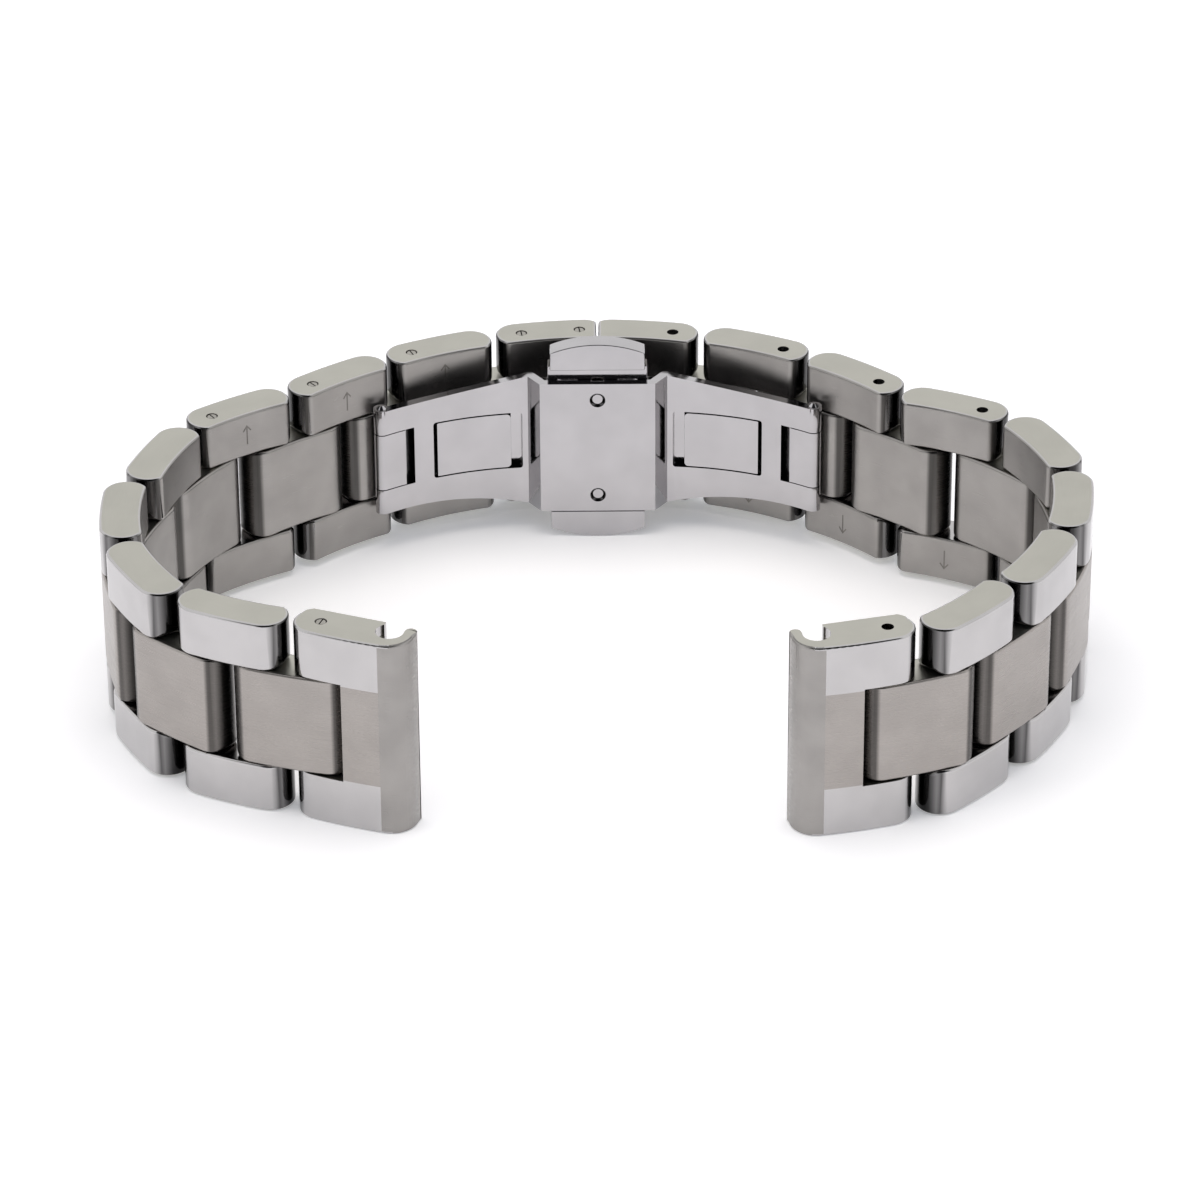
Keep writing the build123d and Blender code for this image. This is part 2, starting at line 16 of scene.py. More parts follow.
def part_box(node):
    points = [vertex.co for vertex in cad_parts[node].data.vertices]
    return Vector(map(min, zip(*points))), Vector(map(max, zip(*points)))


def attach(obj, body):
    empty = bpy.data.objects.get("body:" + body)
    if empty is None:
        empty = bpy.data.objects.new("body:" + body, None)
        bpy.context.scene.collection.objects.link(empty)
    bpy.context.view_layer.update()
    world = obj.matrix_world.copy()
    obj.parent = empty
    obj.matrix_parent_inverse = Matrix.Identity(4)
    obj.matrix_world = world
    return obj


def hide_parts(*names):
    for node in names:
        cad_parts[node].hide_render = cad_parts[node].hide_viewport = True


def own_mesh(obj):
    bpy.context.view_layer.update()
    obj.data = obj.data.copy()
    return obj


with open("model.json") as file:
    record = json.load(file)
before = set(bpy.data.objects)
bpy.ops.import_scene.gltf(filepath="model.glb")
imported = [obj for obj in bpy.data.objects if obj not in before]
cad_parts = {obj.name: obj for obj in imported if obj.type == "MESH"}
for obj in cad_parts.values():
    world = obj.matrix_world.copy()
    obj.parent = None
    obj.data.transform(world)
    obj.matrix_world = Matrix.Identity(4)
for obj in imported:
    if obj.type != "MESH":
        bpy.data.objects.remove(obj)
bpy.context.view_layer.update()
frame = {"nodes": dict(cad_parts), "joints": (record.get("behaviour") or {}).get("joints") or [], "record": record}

MM = 0.001
GAP_SHADE = 0.06  # painted shade: how bright the steel's colour stays deep in the gap between two links
# Painted shade on a round end inside the gap, in stretches: where each starts and ends, and how dark it is at both
GAP_PROFILE = ((0.0, 0.3, 0.0, 0.88), (0.3, 0.6, 0.88, 0.62), (0.6, 1.0, 0.62, 1.0))
MARK_DEPTH = 0.004  # of the grain's relief
SMUDGES_PER_MM = 0.25
SCRATCH_TURN = 24.0  # degrees across the grain
SCRATCHES_PER_MM = (0.25, 9, 1)  # along a scratch, across it and through the sheet
SHARP = 34.0  # degrees between two faces, above which their edge is rounded
CREASE = 38.0  # degrees above which the shading has an edge
MESH_TOUCH = 0.002  # corners this near to each other, or to a cut, are at one place

# Bracelet, in millimetres
LUG_WIDTH = 20.0
CLASP_WIDTH = 18.0
PIN_SPACING = 5.75
SIDE_SHARE = 0.243  # share of the width that each side plate takes
PAIRS = 8
PLAY = 0.05
EDGE_ROUND = 0.26  # of the links
FINE_ROUND = 0.12  # of the clasp
RIM_ROUND = 0.06  # of the end links' holes and notches
OVERRUN = 1.0  # how far a cutter stands out of what it cuts
MID_HEIGHT = LUG_WIDTH / 2

# Side plates and centre links, seen along the pins
SIDE_RADIUS = 2.2
SIDE_INNER = 1.9
SIDE_CROWN = 0.12
SIDE_HOLLOW = 0.3
SIDE_CORNER = 1.0
SIDE_ARC_X = 3.225
CENTRE_RADIUS = 2.0
CENTRE_OUT = 0.15
CENTRE_CROWN = 0.1
CENTRE_HOLLOW = 0.2
CENTRE_CORNER = 0.8
CENTRE_ARC_X = 3.555
PIN_HOLE = 0.57
HOLE_DEPTH = 2.2
MEETING_GAP = 0.2
SIDE_SHADE_FROM = SIDE_ARC_X + 0.55 * SIDE_RADIUS  # where the painted shade of the next link begins to darken the round end
# where the painted shade of the next link begins on a centre link's round end
CENTRE_SHADE_FROM = CENTRE_ARC_X + 0.35 * CENTRE_RADIUS

# End links
END_LENGTH = 11.4
BAR_BORE = 0.8
BAR_TO_TIP = 2.35
BAR_DEPTH = 1.4
NOTCH_RADIUS = 1.3
NOTCH_MOUTH = 0.9
NOTCH_LENGTH = 2.5
LIP_RADIUS = 0.55
LIP_SET_BACK = 0.2
SLOT_BOTTOM = -0.145
TIP_ZONE = 1.45  # satin stretch at the lug end
BRUSHED_SHARE = 0.5  # brushed middle of the end link, as a share of its width

# Clasp
WINDOW_FROM = 7.4  # from the middle of the clasp to its windows
WINDOW_HALF_HEIGHT = 3.1
SLOT_TO = 19.5  # to the barrels, at the end of the slots beyond the windows
GUIDE_HEIGHT = 5.3  # from mid height to each guide pin
GUIDE_SINK_RADIUS = 0.75
RECESSED = ("clasp_base_plate", "left_clasp_arm", "right_clasp_arm")
SUNK_SHADE = 0.9  # painted shade on the walls of the windows, slots and sinks: how deep they count in the gap map
BUTTON_DEPTH = 2.05  # of the push face, whose works lie further out in satin steel with a darker colour as painted shade

# Engraved arrows on the inner faces, pointing the way the pins are driven out
ARROW_LENGTH = 2.0
ARROW_BARB = 0.7
ARROW_SPREAD = 38.0  # degrees from the shaft to a barb
ARROW_LINE = 0.13
ARROW_DEPTH = 0.03

OPEN_PINS = {"left": (0, 1, 3, 5, 7, 16), "right": (1, 3, 5, 7, 16)}
ARROW_PAIRS = (2, 3, 4)

# The part of a face's unit normal that decides its finish
EDGE_FACE = 0.985  # more than this along the pins: the satin edge faces
INNER_FACE = -0.6  # less than this outwards: the faces towards the wrist

joints = {joint["name"]: joint for joint in frame["joints"]}
mounts = {mount["name"]: mount for mount in frame["record"]["mounts"]}


def colour(code):
    """Linear colour, with alpha, of an sRGB hex code."""
    shares = [int(code[start : start + 2], 16) / 255 for start in (1, 3, 5)]
    return [s / 12.92 if s <= 0.04045 else ((s + 0.055) / 1.055) ** 2.4 for s in shares] + [1.0]


def add(tree, kind, links=(), **settings):
    """Add a node: links are (input name or number, output socket), settings its inputs or fields."""
    node = tree.nodes.new(kind)
    for name, value in settings.items():
        if hasattr(node, name):
            setattr(node, name, value)
        else:
            node.inputs[name.replace("_", " ")].default_value = value
    for name, socket in links:
        tree.links.new(socket, node.inputs[name])
    return node


def ranged(tree, value, low, high, to_low, to_high):
    """Carry a value from one range to another."""
    ends = {"From_Min": low, "From_Max": high, "To_Min": to_low, "To_Max": to_high}
    return add(tree, "ShaderNodeMapRange", [("Value", value)], **ends).outputs["Result"]


def looked_at(tree):
    """Value that is 1 where the camera, a reflection or a clear material looks, and else 0."""
    ray = add(tree, "ShaderNodeLightPath")
    direct = add(tree, "ShaderNodeMath", [(0, ray.outputs["Is Camera Ray"]), (1, ray.outputs["Is Glossy Ray"])])
    seen = add(tree, "ShaderNodeMath", [(0, direct.outputs[0]), (1, ray.outputs["Is Transmission Ray"])])
    return seen.outputs[0]


def steel(name, code, rough, rough_spread, grain=(4.0, 0.08), bump=0.3, shade=0.9, stretch=0.0, scratched=0.0):
    """Bare steel. grain is the length and width of its marks in mm, shade how dark the smudges get.

    The steel's colour darkens where the "gap" map rises, from open faces (0) to those deep between two links (1):
    painted shade for the gaps and recesses.
    """
    material = bpy.data.materials.new(name)
    material.use_nodes = True
    tree = material.node_tree
    tree.nodes.clear()
    place = add(tree, "ShaderNodeUVMap", uv_map="grain")
    along = add(tree, "ShaderNodeMapping", [("Vector", place.outputs["UV"])])
    along.inputs["Scale"].default_value = (1 / grain[0], 1 / grain[1], 1)
    marks = add(tree, "ShaderNodeTexNoise", [("Vector", along.outputs["Vector"])], Scale=1.0, Detail=3.0)
    room = add(tree, "ShaderNodeTexCoord").outputs["Object"]
    smudges = add(tree, "ShaderNodeTexNoise", [("Vector", room)], Scale=SMUDGES_PER_MM / MM, Detail=2.0)
    rough_socket = ranged(tree, marks.outputs["Fac"], 0.3, 0.7, rough - rough_spread, rough + rough_spread)
    if scratched:
        slanted = add(tree, "ShaderNodeMapping", [("Vector", place.outputs["UV"])])
        slanted.inputs["Rotation"].default_value = (0, 0, radians(SCRATCH_TURN))
        slanted.inputs["Scale"].default_value = SCRATCHES_PER_MM
        lines = add(tree, "ShaderNodeTexNoise", [("Vector", slanted.outputs["Vector"])], Scale=1.0, Detail=4.0)
        scratches = ranged(tree, lines.outputs["Fac"], 0.60, 0.72, 0.0, scratched)
        both = add(tree, "ShaderNodeMath", [(0, rough_socket), (1, scratches)], operation="ADD")
        rough_socket = both.outputs["Value"]
    tone = ranged(tree, smudges.outputs["Fac"], 0.35, 0.65, 0.0, 1.0)
    base = colour(code)
    mix = add(tree, "ShaderNodeMix", [("Factor", tone)], data_type="RGBA")
    mix.inputs[6].default_value = [part * shade for part in base[:3]] + [1.0]
    mix.inputs[7].default_value = base
    # painted shade: the colour is mixed towards a dark copy of itself where the gap map rises
    depth = add(tree, "ShaderNodeUVMap", uv_map="gap")
    deep = add(tree, "ShaderNodeSeparateXYZ", [("Vector", depth.outputs["UV"])])
    blend = [("Factor", deep.outputs["X"]), ("A", mix.outputs["Result"])]
    painted_gap_shade = add(tree, "ShaderNodeMix", blend, data_type="RGBA")
    painted_gap_shade.inputs["B"].default_value = [part * GAP_SHADE for part in base[:3]] + [1.0]
    height = [("Height", marks.outputs["Fac"])]
    relief = add(tree, "ShaderNodeBump", height, Strength=bump, Distance=MARK_DEPTH * MM)
    surface = [("Base Color", painted_gap_shade.outputs["Result"]), ("Roughness", rough_socket)]
    surface.append(("Normal", relief.outputs["Normal"]))
    shader = add(tree, "ShaderNodeBsdfPrincipled", surface, Metallic=1.0)
    if stretch:
        shader.inputs["Anisotropic"].default_value = stretch
        direction = add(tree, "ShaderNodeTangent", direction_type="UV_MAP", uv_map="grain")
        tree.links.new(direction.outputs["Tangent"], shader.inputs["Tangent"])
    out = add(tree, "ShaderNodeOutputMaterial")
    tree.links.new(shader.outputs["BSDF"], out.inputs["Surface"])
    return material


polished = steel("polished stainless steel", "#BFBDBD", 0.12, 0.03, (6.0, 0.25), 0.08, 0.93, 0.0, 0.12)
brushed = steel("brushed stainless steel", "#A49F9B", 0.30, 0.08, (6.0, 0.07), 0.35, 0.92, 0.5)
satin = steel("satin stainless steel", "#B9B7AE", 0.34, 0.05, (2.0, 0.09), 0.25, 0.95, 0.3)
worn = steel("worn satin steel", "#A3A09D", 0.36, 0.10, (0.5, 0.3), 0.5, 0.88)
inside = steel("satin inner steel", "#A09D9A", 0.32, 0.05, (2.5, 0.06), 0.12, 0.88, 0.3)
mirror = steel("polished clasp steel", "#BCBABC", 0.10, 0.03, (3.0, 0.3), 0.06, 0.93, 0.0, 0.10)
# satin steel of the button's works, its dark colour painted shade
shaded_works = steel("dull steel of the button's works", "#6E6A66", 0.38, 0.06, (2.0, 0.1), 0.2, 0.85)
engraved = steel("engraved steel", "#85817D", 0.50, 0.06, (0.6, 0.2), 0.3, 0.9)
wire = steel("drawn steel wire", "#AAA7A0", 0.32, 0.06, (0.5, 0.1), 0.25, 0.9)
LINK_STEELS = (polished, brushed, satin, inside, engraved, worn)
POLISHED, BRUSHED, SATIN, INSIDE, ENGRAVED, WORN = range(len(LINK_STEELS))


def arc(start, middle, end, steps=10):
    """Points of the arc through three points, without its last one."""
    ax, ay = start
    bx, by = middle
    cx, cy = end
    d = 2 * (ax * (by - cy) + bx * (cy - ay) + cx * (ay - by))
    a2, b2, c2 = ax * ax + ay * ay, bx * bx + by * by, cx * cx + cy * cy
    x = (a2 * (by - cy) + b2 * (cy - ay) + c2 * (ay - by)) / d
    y = (a2 * (cx - bx) + b2 * (ax - cx) + c2 * (bx - ax)) / d
    first = atan2(ay - y, ax - x)
    turn = (atan2(cy - y, cx - x) - first) % (2 * pi)
    if (atan2(by - y, bx - x) - first) % (2 * pi) > turn:
        turn -= 2 * pi
    radius = sqrt((ax - x) ** 2 + (ay - y) ** 2)
    angles = [first + turn * step / steps for step in range(steps)]
    return [(x + radius * cos(angle), y + radius * sin(angle)) for angle in angles]


def rounded(corners, radii, steps=6):
    """Outline with every corner rounded by its own radius."""
    points = []
    for index, corner in enumerate(corners):
        radius = radii[index]
        here = Vector(corner)
        if not radius:
            points.append(tuple(here))
            continue
        before = (Vector(corners[index - 1]) - here).normalized()
        after = (Vector(corners[(index + 1) % len(corners)]) - here).normalized()
        half = before.angle(after) / 2
        start = here + before * radius / (sin(half) / cos(half))
        end = here + after * radius / (sin(half) / cos(half))
        middle = here + (before + after).normalized() * (radius / sin(half) - radius)
        points += arc(tuple(start), tuple(middle), tuple(end), steps)
        points.append(tuple(end))
    return points


def circle(x, y, radius, steps=28):
    angles = [2 * pi * step / steps for step in range(steps)]
    return [(x + radius * cos(angle), y + radius * sin(angle)) for angle in angles]


def rectangle(x0, x1, y0, y1):
    return [(x0, y0), (x1, y0), (x1, y1), (x0, y1)]


def prism(outline, low, high, axis="Z"):
    """Solid of an outline pushed from low to high along Z, or along Y with the outline upright."""
    form = bmesh.new()
    ends = []
    for level in (low, high):
        if axis == "Z":
            ends.append([form.verts.new((a, b, level)) for a, b in outline])
        else:
            ends.append([form.verts.new((a, level, b)) for a, b in outline])
    form.faces.new(ends[0])
    form.faces.new(ends[1])
    for index in range(len(outline)):
        following = (index + 1) % len(outline)
        form.faces.new((ends[0][index], ends[0][following], ends[1][following], ends[1][index]))
    bmesh.ops.recalc_face_normals(form, faces=form.faces)
    return form


def solid(name, forms):
    """One object of one or more solids that don't touch."""
    mesh = bpy.data.meshes.new(name)
    whole = bmesh.new()
    for form in forms:
        part = bpy.data.meshes.new(name + "_part")
        form.to_mesh(part)
        form.free()
        whole.from_mesh(part)
        bpy.data.meshes.remove(part)
    whole.to_mesh(mesh)
    whole.free()
    piece = bpy.data.objects.new(name, mesh)
    bpy.context.scene.collection.objects.link(piece)
    return piece


def settle(piece):
    """Turn what the modifiers make into the piece's own mesh."""
    graph = bpy.context.evaluated_depsgraph_get()
    mesh = bpy.data.meshes.new_from_object(piece.evaluated_get(graph))
    old = piece.data
    piece.modifiers.clear()
    piece.data = mesh
    bpy.data.meshes.remove(old)


def carve(piece, operation, forms):
    """Cut the piece with solids, or keep only what lies inside them."""
    tool = solid("tool", forms)
    modifier = piece.modifiers.new("carve", "BOOLEAN")
    modifier.operation = operation
    modifier.solver = "EXACT"
    modifier.object = tool
    settle(piece)
    bpy.data.objects.remove(tool)


def soften(piece, width, steps=2, clamped=False):
    """Round every sharp edge, where clamped no further than its neighbours leave room."""
    modifier = piece.modifiers.new("soften", "BEVEL")
    modifier.width = width
    modifier.segments = steps
    modifier.limit_method = "ANGLE"
    modifier.angle_limit = radians(SHARP)
    modifier.use_clamp_overlap = clamped
    settle(piece)


def even(piece):
    """Keep flat faces flat in the light, with the curve of each edge inside its rounding."""
    modifier = piece.modifiers.new("even", "WEIGHTED_NORMAL")
    modifier.keep_sharp = True


def nearness(along, start, end):
    """How dark the painted shade of the gap between two links makes a point, from 0 at start to 1 at end, paler on
    the way.
    """
    share = min(max((abs(along) - start) / (end - start), 0.0), 1.0)
    for low, high, dark_from, dark_to in GAP_PROFILE:
        if share <= high:
            step = (share - low) / (high - low)
            return dark_from + (dark_to - dark_from) * step * step * (3 - 2 * step)


def dress(piece, choose, gap):
    """Give every face its steel, its grain direction, its painted shade of the gap and smooth shading.

    choose takes a face's centre and normal, and gap takes a corner's distance along the link.
    """
    mesh = piece.data
    mesh.materials.clear()
    for material in LINK_STEELS:
        mesh.materials.append(material)
    grain = mesh.uv_layers.new(name="grain")
    depth = mesh.uv_layers.new(name="gap")
    for polygon in mesh.polygons:
        normal = polygon.normal
        polygon.material_index = choose(polygon.center, normal)
        edge_on = abs(normal.z) > 0.9
        for corner in polygon.loop_indices:
            x, y, z = mesh.vertices[mesh.loops[corner].vertex_index].co
            # painted shade of the gap between links, none on the edge faces
            depth.data[corner].uv = (0.0 if edge_on else gap(x), 0.0)
            if abs(normal.z) > 0.7:
                grain.data[corner].uv = (x, y)
            elif abs(normal.x) > 0.8:
                grain.data[corner].uv = (y, z)
            else:
                grain.data[corner].uv = (x, z)
    mesh.shade_smooth()
    mesh.set_sharp_from_angle(angle=radians(CREASE))
    even(piece)
    settle(piece)


def mirrored(piece):
    """Add the piece's mirror image across the middle of the bracelet."""
    whole = bmesh.new()
    whole.from_mesh(piece.data)
    copy = bmesh.ops.duplicate(whole, geom=whole.verts[:] + whole.edges[:] + whole.faces[:])
    verts = [item for item in copy["geom"] if isinstance(item, bmesh.types.BMVert)]
    faces = [item for item in copy["geom"] if isinstance(item, bmesh.types.BMFace)]
    bmesh.ops.scale(whole, vec=(1, 1, -1), verts=verts)
    bmesh.ops.reverse_faces(whole, faces=faces)
    whole.to_mesh(piece.data)
    whole.free()


def lay(piece, place, body, nodes):
    """Put a finished piece in its place and tie it to the frame."""
    piece.data.transform(place @ Matrix.Scale(MM, 4))
    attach(piece, body)
    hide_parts(*nodes)


def pin_point(side, index):
    """Place of a pin on the table, counted from the clasp."""
    x, y = joints[side + "_pin_" + str(index)]["pos_m"][:2]
    return Vector((x, y, 0))


def link_place(side, index):
    """Axes of a link, from its two pins."""
    near, far = pin_point(side, index), pin_point(side, index + 1)
    along = near - far if side == "left" else far - near
    middle = (near + far) / 2
    turn = Matrix.Rotation(atan2(along.y, along.x), 4, "Z")
    return Matrix.Translation((middle.x, middle.y, MID_HEIGHT * MM)) @ turn


def width_at(pair):
    """Width of the bracelet, which grows from the clasp to the lugs."""
    return CLASP_WIDTH + (LUG_WIDTH - CLASP_WIDTH) * (pair - 1) / PAIRS


def side_outline():
    """Side plate: round ends, a hollow inner face and a crowned outer face."""
    corner = SIDE_ARC_X + sqrt(SIDE_RADIUS**2 - SIDE_INNER**2)
    points = arc((-corner, -SIDE_INNER), (0, SIDE_HOLLOW - SIDE_INNER), (corner, -SIDE_INNER))
    points += arc((corner, -SIDE_INNER), (SIDE_ARC_X + SIDE_RADIUS, 0), (SIDE_ARC_X, SIDE_RADIUS), 16)
    points += arc((SIDE_ARC_X, SIDE_RADIUS), (0, SIDE_RADIUS + SIDE_CROWN), (-SIDE_ARC_X, SIDE_RADIUS))
    points += arc((-SIDE_ARC_X, SIDE_RADIUS), (-SIDE_ARC_X - SIDE_RADIUS, 0), (-corner, -SIDE_INNER), 16)
    return points


def centre_outline():
    """Centre link: fuller round ends, which stand further out."""
    low = CENTRE_OUT - CENTRE_RADIUS
    high = CENTRE_OUT + CENTRE_RADIUS
    tip = CENTRE_ARC_X + CENTRE_RADIUS
    points = arc((-CENTRE_ARC_X, low), (0, low + CENTRE_HOLLOW), (CENTRE_ARC_X, low))
    points += arc((CENTRE_ARC_X, low), (tip, CENTRE_OUT), (CENTRE_ARC_X, high), 18)
    points += arc((CENTRE_ARC_X, high), (0, high + CENTRE_CROWN), (-CENTRE_ARC_X, high))
    points += arc((-CENTRE_ARC_X, high), (-tip, CENTRE_OUT), (-CENTRE_ARC_X, low), 18)
    return points


def arrow(height, up):
    """Line arrow with two open barbs on the inner face, centred at a height, pointing up or down."""
    across, back = sin(radians(ARROW_SPREAD)), cos(radians(ARROW_SPREAD))
    half = ARROW_LINE / 2
    crotch = half * (1 + back) / across
    right = [
        (half, -ARROW_LENGTH),
        (half, -crotch * back - half * across),
        (ARROW_BARB * across - half * back, -ARROW_BARB * back - half * across),
        (ARROW_BARB * across + half * back, half * across - ARROW_BARB * back),
    ]
    outline = right + [(0, half / across)] + [(-x, z) for x, z in reversed(right)]
    tip = height + up * ARROW_LENGTH / 2
    outline = [(x, tip + up * z) for x, z in outline]
    return prism(outline, -SIDE_INNER - OVERRUN, SIDE_HOLLOW - SIDE_INNER + ARROW_DEPTH, "Y")


def side_links(side, pair):
    """The two side plates of one link."""
    toward = 1 if side == "left" else -1
    width = width_at(pair)
    top = width / 2
    bottom = top - width * SIDE_SHARE
    reach = SIDE_ARC_X + SIDE_RADIUS
    place = link_place(side, 2 * pair - 2)
    name = side + "_side_links_" + str(pair)
    piece = solid(name, [prism(side_outline(), bottom, top)])
    band = rounded(rectangle(-reach, reach, bottom, top + OVERRUN), (SIDE_CORNER, SIDE_CORNER, 0, 0), 8)
    carve(piece, "INTERSECT", [prism(band, -2 * SIDE_RADIUS, 2 * SIDE_RADIUS, "Y")])
    if pair == 1:
        # the end that meets the other half is cut square to it
        middle = place.inverted() @ Vector((0, 0, MID_HEIGHT * MM)) / MM
        slope = place.to_euler().z
        corners = []
        for across in (-2 * SIDE_RADIUS, 2 * SIDE_RADIUS):
            meeting = middle.x + (across - middle.y) * sin(slope) / cos(slope) - toward * MEETING_GAP / 2
            corners.append((meeting, across))
        far = toward * 3 * reach
        corners += [(far, 2 * SIDE_RADIUS), (far, -2 * SIDE_RADIUS)]
        carve(piece, "DIFFERENCE", [prism(corners, 0, width)])
    soften(piece, EDGE_ROUND, 3)
    holes = []
    for end, index in ((toward, 2 * pair - 2), (-toward, 2 * pair - 1)):
        if index in OPEN_PINS[side]:
            ring = circle(end * PIN_SPACING / 2, 0, PIN_HOLE)
            holes.append(prism(ring, top - HOLE_DEPTH, top + OVERRUN))
    if holes:
        carve(piece, "DIFFERENCE", holes)
    mirrored(piece)
    if pair in ARROW_PAIRS:
        carve(piece, "DIFFERENCE", [arrow(toward * (top + bottom) / 2, toward)])
    arrow_bed = -SIDE_INNER + SIDE_HOLLOW + ARROW_DEPTH

    def choose(centre, normal):
        if normal.y < -0.9 and abs(centre.x) < ARROW_BARB and abs(centre.y - arrow_bed) < ARROW_DEPTH / 3:
            return ENGRAVED
        if abs(normal.z) > EDGE_FACE and abs(centre.z) > bottom + EDGE_ROUND:
            return SATIN
        return INSIDE if normal.y < INNER_FACE else POLISHED

    # painted shade on the round ends where the neighbouring links meet them
    dress(piece, choose, lambda x: nearness(x, SIDE_SHADE_FROM, reach))
    number = str(pair)
    lay(piece, place, side + "_pair_" + number, [side + "_side_pair_" + number])


def centre_piece(side, pair):
    """The centre link that joins two pairs of side plates."""
    half_width = width_at(pair) * (0.5 - SIDE_SHARE) - PLAY
    reach = CENTRE_ARC_X + CENTRE_RADIUS
    piece = solid(side + "_centre_" + str(pair), [prism(centre_outline(), -half_width, half_width)])
    plan = rounded(rectangle(-reach, reach, -half_width, half_width), (CENTRE_CORNER,) * 4, 8)
    carve(piece, "INTERSECT", [prism(plan, -2 * CENTRE_RADIUS, 2 * CENTRE_RADIUS, "Y")])
    soften(piece, EDGE_ROUND, 3)

    def choose(centre, normal):
        if abs(normal.z) > EDGE_FACE:
            return SATIN
        return INSIDE if normal.y < INNER_FACE else BRUSHED

    # painted shade on the round ends where the side plates meet them
    dress(piece, choose, lambda x: nearness(x, CENTRE_SHADE_FROM, reach))
    number = str(pair)
    node = side + "_centre_link_" + number
    lay(piece, link_place(side, 2 * pair - 1), side + "_centre_" + number, [node])


def end_piece(side):
    """End link, with its slot, bar bore, tool notches and the three bands of its outer face."""
    out = -1 if side == "left" else 1
    corner = SIDE_ARC_X + sqrt(SIDE_RADIUS**2 - SIDE_INNER**2)
    tip = END_LENGTH - SIDE_ARC_X - SIDE_RADIUS
    bar_x = tip - BAR_TO_TIP
    bar_y = BAR_DEPTH - SIDE_INNER
    lip_x = tip - LIP_RADIUS
    lip_y = LIP_SET_BACK - SIDE_INNER + LIP_RADIUS
    half = LUG_WIDTH / 2
    bulge = (bar_x + (tip - bar_x) * cos(pi / 4), bar_y + (SIDE_RADIUS - bar_y) * sin(pi / 4))
    outline = [(-corner, -SIDE_INNER), (lip_x - LIP_RADIUS, -SIDE_INNER)]
    outline += arc((lip_x - LIP_RADIUS, lip_y), (lip_x, lip_y - LIP_RADIUS), (tip, lip_y), 10)
    outline += [(tip, lip_y)]
    tip_arc = arc((tip, bar_y), bulge, (bar_x, SIDE_RADIUS), 40)
    zone = min((x for x, y in tip_arc), key=lambda x: abs(tip - TIP_ZONE - x))
    outline += tip_arc
    crown = ((bar_x - SIDE_ARC_X) / 2, SIDE_RADIUS + SIDE_CROWN)
    outline += arc((bar_x, SIDE_RADIUS), crown, (-SIDE_ARC_X, SIDE_RADIUS))
    outline += arc((-SIDE_ARC_X, SIDE_RADIUS), (-SIDE_ARC_X - SIDE_RADIUS, 0), (-corner, -SIDE_INNER), 16)
    outline = [(out * x, y) for x, y in outline]

    def on_rim(point):
        """Whether a corner lies on the outer rim of an edge face, away from the notch and the hole."""
        from_bar = hypot(out * point.x - bar_x, point.y - bar_y)
        from_pin = hypot(out * point.x + PIN_SPACING / 2, point.y)
        clear = from_bar > NOTCH_RADIUS + RIM_ROUND and from_pin > PIN_HOLE + RIM_ROUND
        return clear and abs(point.z) > half - RIM_ROUND and point.y > lip_y - RIM_ROUND

    piece = solid(side + "_lug_end", [prism(outline, -half, half)])
    slot_half = LUG_WIDTH * (0.5 - SIDE_SHARE)
    slot = rectangle(out * (-2 * SIDE_ARC_X), out * SLOT_BOTTOM, -slot_half, slot_half)
    carve(piece, "DIFFERENCE", [prism(slot, -2 * SIDE_RADIUS, 2 * SIDE_RADIUS, "Y")])
    mouth = rectangle(out * (bar_x - NOTCH_MOUTH), out * (lip_x - LIP_RADIUS), -2 * SIDE_INNER, bar_y)
    for low, high in ((half - NOTCH_LENGTH, half + OVERRUN), (-half - OVERRUN, NOTCH_LENGTH - half)):
        carve(piece, "DIFFERENCE", [prism(circle(out * bar_x, bar_y, NOTCH_RADIUS), low, high)])
        carve(piece, "DIFFERENCE", [prism(mouth, low, high)])
    bore = prism(circle(out * bar_x, bar_y, BAR_BORE), -half - OVERRUN, half + OVERRUN)
    pin_x = -out * PIN_SPACING / 2
    ends = ((half - HOLE_DEPTH, half + OVERRUN), (-half - OVERRUN, HOLE_DEPTH - half))
    holes = [prism(circle(pin_x, 0, PIN_HOLE), low, high) for low, high in ends]
    carve(piece, "DIFFERENCE", [bore] + holes)
    form = bmesh.new()
    form.from_mesh(piece.data)
    rims = [edge for edge in form.edges if all(on_rim(vertex.co) for vertex in edge.verts)]
    bmesh.ops.bevel(form, geom=rims, offset=EDGE_ROUND, segments=3, profile=0.5, affect="EDGES")
    form.to_mesh(piece.data)
    form.free()
    soften(piece, RIM_ROUND, 2, True)

    def choose(centre, normal):
        if abs(normal.z) > EDGE_FACE:
            return SATIN
        if normal.y < -0.5:
            return INSIDE
        if out * centre.x > zone:
            return WORN
        return BRUSHED if abs(centre.z) < half * BRUSHED_SHARE else POLISHED

    # rings of edges where the polished bands end, so that each face has one finish
    form = bmesh.new()
    form.from_mesh(piece.data)
    cuts = [((0, 0, share * half * BRUSHED_SHARE), (0, 0, 1)) for share in (-1, 1)]
    cuts.append(((out * zone, 0, 0), (1, 0, 0)))
    for point, direction in cuts:
        whole = form.verts[:] + form.edges[:] + form.faces[:]
        bmesh.ops.bisect_plane(form, geom=whole, plane_co=point, plane_no=direction, dist=MESH_TOUCH)
    form.to_mesh(piece.data)
    form.free()
    reach = SIDE_ARC_X + SIDE_RADIUS
